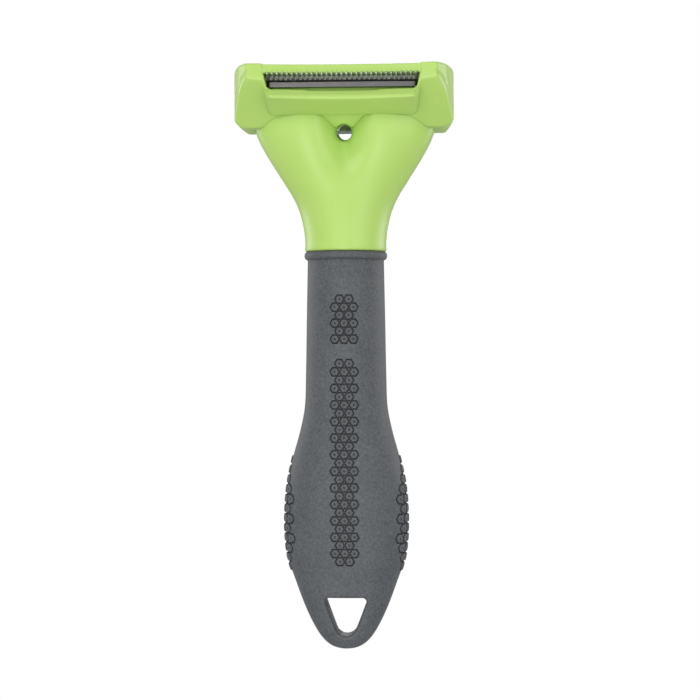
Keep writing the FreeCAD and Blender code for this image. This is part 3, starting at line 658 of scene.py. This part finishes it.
grip = newObject("gripSleeve", makeGrip())
cutAway(grip, newObject("cellTools", scatterCells(cellTool(), False)))
shadeSmooth(grip)
dressPiece(grip, gripRubber, ["grip_sleeve"])
islands = newObject("gripCells", scatterCells(cellIsland(), True))
shadeSmooth(islands, 50)
dressPiece(islands, gripRubber)
print("grip with", len(list(cellPlaces())), "cells,", len(grip.data.polygons), "faces")


# ---------- collar ----------

collarSpec = {
    "bottom": 99.35, "top": 101.55, "outer": 10.6, "inner": 8.25,   # mm
    "roundness": 0.8, "arcSteps": 12, "turns": 96,
}


def makeCollar():
    # a rolled bead, spun round the handle's axis
    spec = collarSpec
    middle = (spec["bottom"] + spec["top"]) / 2
    bulge = (spec["top"] - spec["bottom"]) / 2
    flat = bulge * spec["roundness"]
    points = [(spec["inner"], spec["bottom"])]
    for k in range(spec["arcSteps"] + 1):
        a = math.pi * (k / spec["arcSteps"] - 0.5)
        points.append((spec["outer"] - flat + flat * math.cos(a), middle + bulge * math.sin(a)))
    points.append((spec["inner"], spec["top"]))
    bm = bmesh.new()
    verts = [bm.verts.new(Vector((x, 0, z)) * mm) for x, z in points]
    edges = [bm.edges.new((a, b)) for a, b in zip(verts, verts[1:] + verts[:1])]
    bmesh.ops.spin(bm, geom=verts + edges, cent=(0, 0, 0), axis=(0, 0, 1), angle=2 * math.pi,
                   steps=spec["turns"], use_merge=True)
    bmesh.ops.recalc_face_normals(bm, faces=bm.faces)
    return bm


collar = newObject("collarRing", makeCollar())
shadeSmooth(collar)
dressPiece(collar, gripRubber, ["collar_ring"])
print("collar")


# ---------- moulded green pieces ----------

# all in mm; the front of the head faces -Y
stripSpec = {"halfWidth": 19.8, "bottom": 144.2, "front": -17.0, "depth": 0.3, "drop": 0.22, "blend": 0.3}


def setBackStrip(bm):
    # the strip above the slot lies a little behind and below the ends of the head
    spec = stripSpec
    for vert in bm.verts:
        x, y, z = vert.co / mm
        if y < spec["front"] + 1.5 and z > spec["bottom"]:
            share = clamp((spec["halfWidth"] - abs(x)) / spec["blend"])
            vert.co.y += spec["depth"] * share * clamp(spec["front"] - y) * mm
            vert.co.z -= spec["drop"] * share * clamp(z - spec["bottom"]) * mm


# the chin leaves the front at this height and runs back by slope for each mm down
frameSpec = {
    "from": 17.6, "to": 20.2, "end": 22.0, "top": 143.4, "front": -20.5, "slope": 1.108, "blend": 0.8,
    "lip": 140.6, "lipHalf": 19.0, "lipBack": -15.6, "lipWidth": 0.5, "lift": 0.3, "back": -13.0,
}


def easeFrame(bm):
    # the ends of the slot's frame run out into the chin, and its lip rises a little under the bar
    spec = frameSpec
    for vert in bm.verts:
        x, y, z = vert.co / mm
        if y > spec["back"] or z > spec["top"]:
            continue
        share = clamp((abs(x) - spec["from"]) / (spec["to"] - spec["from"]))
        share = share * share * (3 - 2 * share) * min(1.0, (spec["top"] - z) / spec["blend"])
        chin = spec["front"] + (spec["top"] - z) * spec["slope"]
        if y < chin and abs(x) < spec["end"]:
            vert.co.y += (chin - y) * share * mm
        if abs(x) < spec["lipHalf"] and y < spec["lipBack"]:
            vert.co.z += spec["lift"] * math.exp(-((z - spec["lip"]) / spec["lipWidth"]) ** 2) * mm


softSpec = {
    "front": -14.0,
    "zones": [
        # distance from the middle, height: the rim's ridge, and where the noses turn into the chin
        {"across": (0.0, 21.5), "up": (136.8, 139.6), "passes": 14},
        {"across": (19.6, 24.5), "up": (141.6, 144.8), "passes": 14},
    ],
}


def softenZones(bm):
    # broader rounding of the front where the mould is softest
    for zone in softSpec["zones"]:
        verts = [v for v in bm.verts if v.co.y < softSpec["front"] * mm
                 and zone["across"][0] < abs(v.co.x) / mm < zone["across"][1]
                 and zone["up"][0] < v.co.z / mm < zone["up"][1]]
        smoothVerts(bm, verts, zone["passes"])


creaseSpec = {
    "x": 17.3, "z": 137.0, "radius": 10.0, "from": 22.9, "to": 26.2, "blend": 0.8,
    "width": 0.28, "depth": 0.3, "front": -12.0,
}


def pressCrease(bm):
    # a fine curved crease near each upper corner of the front
    spec = creaseSpec
    bm.normal_update()
    for vert in bm.verts:
        x, y, z = vert.co / mm
        if z < spec["z"] or y > spec["front"] or vert.normal.y > -0.2:
            continue
        reach = math.hypot(abs(x) - spec["x"], z - spec["z"]) - spec["radius"]
        fade = clamp((abs(x) - spec["from"]) / spec["blend"]) * clamp((spec["to"] - abs(x)) / spec["blend"])
        vert.co -= vert.normal * spec["depth"] * math.exp(-(reach / spec["width"]) ** 2) * fade * mm


forkSpec = {"depth": 1.3, "width": 2.0, "bottom": 117.0, "top": 131.0, "front": -4.0}


def pressFork(bm):
    # the crotch of the fork is drawn in to a narrow groove under the hole
    spec = forkSpec
    for vert in bm.verts:
        x, y, z = vert.co / mm
        if y < spec["front"] and z > spec["bottom"]:
            rise = min(1.0, (z - spec["bottom"]) / (spec["top"] - spec["bottom"]))
            vert.co.y += spec["depth"] * rise ** 2 * math.exp(-(x / spec["width"]) ** 2) * mm


# voxel size and growth in mm; the growth narrows the groove that smoothing leaves between yoke and head
mouldSpec = {
    "neckYoke": {"node": "neck_yoke", "voxel": 0.34, "passes": 8, "grow": 0.2,
                 "before": [pressFork], "after": []},
    "headHousing": {"node": "head_front_housing", "voxel": 0.24, "passes": 4, "grow": 0.0,
                    "before": [setBackStrip, easeFrame], "after": [softenZones, pressCrease]},
    "headCover": {"node": "head_rear_cover", "voxel": 0.26, "passes": 4, "grow": 0.0,
                  "before": [], "after": []},
}


def makeMoulded(name, spec):
    # the CAD shape with every edge eased, as a moulding comes out of its tool
    bm = bmesh.new()
    bm.from_mesh(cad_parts[spec["node"]].data)
    bmesh.ops.remove_doubles(bm, verts=bm.verts, dist=mergeGapCad)
    piece = newObject(name, bm)
    soften = piece.modifiers.new("soften", "REMESH")
    soften.mode = "VOXEL"
    soften.voxel_size = spec["voxel"] * mm * 1
    applyModifiers(piece)
    bm = bmesh.new()
    bm.from_mesh(piece.data)
    bm.normal_update()
    for vert in bm.verts:
        vert.co += vert.normal * spec["grow"] * mm
    for shape in spec["before"]:
        shape(bm)
    smoothVerts(bm, bm.verts, spec["passes"])
    for shape in spec["after"]:
        shape(bm)
    for face in bm.faces:
        face.smooth = True
    bm.to_mesh(piece.data)
    bm.free()
    dressPiece(piece, greenAbs, [spec["node"]])
    return piece


for name, spec in mouldSpec.items():
    print(name, len(makeMoulded(name, spec).data.polygons), "faces")


# ---------- return springs ----------

springSpec = {
    "offset": 6.8, "height": 2.25, "front": 9.6, "length": 10.5,   # mm in the tilted frame of the ejector
    "radius": 1.85, "wire": 0.25, "turns": 7,
    "steps": 28, "sides": 10,
    "origin": (0.0, -15.5, 143.4), "tilt": 10.0,
    "travel": 5.5,
}


def springPlace(side):
    # the front end of a spring, its Y pointing back along the ejector's travel
    spec = springSpec
    return (Matrix.Translation(Vector(spec["origin"])) @ Matrix.Rotation(math.radians(-spec["tilt"]), 4, "X")
            @ Matrix.Translation((side * spec["offset"], spec["front"], spec["height"])))


def makeSpring(side):
    # one circle of wire swept round the axis and along it
    spec = springSpec
    steps = spec["turns"] * spec["steps"]
    rise = (spec["length"] - 2 * spec["wire"]) / steps
    bm = bmesh.new()
    bmesh.ops.create_circle(bm, segments=spec["sides"], radius=spec["wire"])
    bmesh.ops.translate(bm, vec=(spec["radius"], spec["wire"], 0), verts=bm.verts)
    bmesh.ops.spin(bm, geom=bm.verts[:] + bm.edges[:], cent=(0, 0, 0), axis=(0, 1, 0), dvec=(0, rise, 0),
                   angle=2 * math.pi * spec["turns"], steps=steps)
    bmesh.ops.holes_fill(bm, edges=[e for e in bm.edges if e.is_boundary], sides=0)
    bmesh.ops.recalc_face_normals(bm, faces=bm.faces)
    bmesh.ops.transform(bm, matrix=Matrix.Scale(mm, 4) @ springPlace(side), verts=bm.verts)
    return bm


def addSpring(name, side, node):
    # it rides the tool's body, with a mesh of its own
    spring = newObject(name, makeSpring(side))
    shadeSmooth(spring, 60)
    dressPiece(spring, wireSteel, [node])
    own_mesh(spring)


addSpring("springLeft", -1, "return_spring_left")
addSpring("springRight", 1, "return_spring_right")
print("springs")


# ---------- finishes of the pieces that keep the frame's own meshes ----------

finishes = {
    "blade": bladeSteel, "ejector_bar": barSteel, "bar_rivets": zincSteel, "blade_screws": zincSteel,
    "blade_dowels": zincSteel, "button_screws": zincSteel, "housing_screws": zincSteel,
    "guide_pin_left": zincSteel, "guide_pin_right": zincSteel, "yoke_lock_pin": zincSteel,
    "ejector_carriage": greenAbs, "thumb_button": greyAcetal, "handle_core": blackNylon,
}
for nodeName, material in finishes.items():
    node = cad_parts[nodeName]
    node.data.materials.clear()
    node.data.materials.append(material)
print("finishes on", len(finishes), "carried pieces")
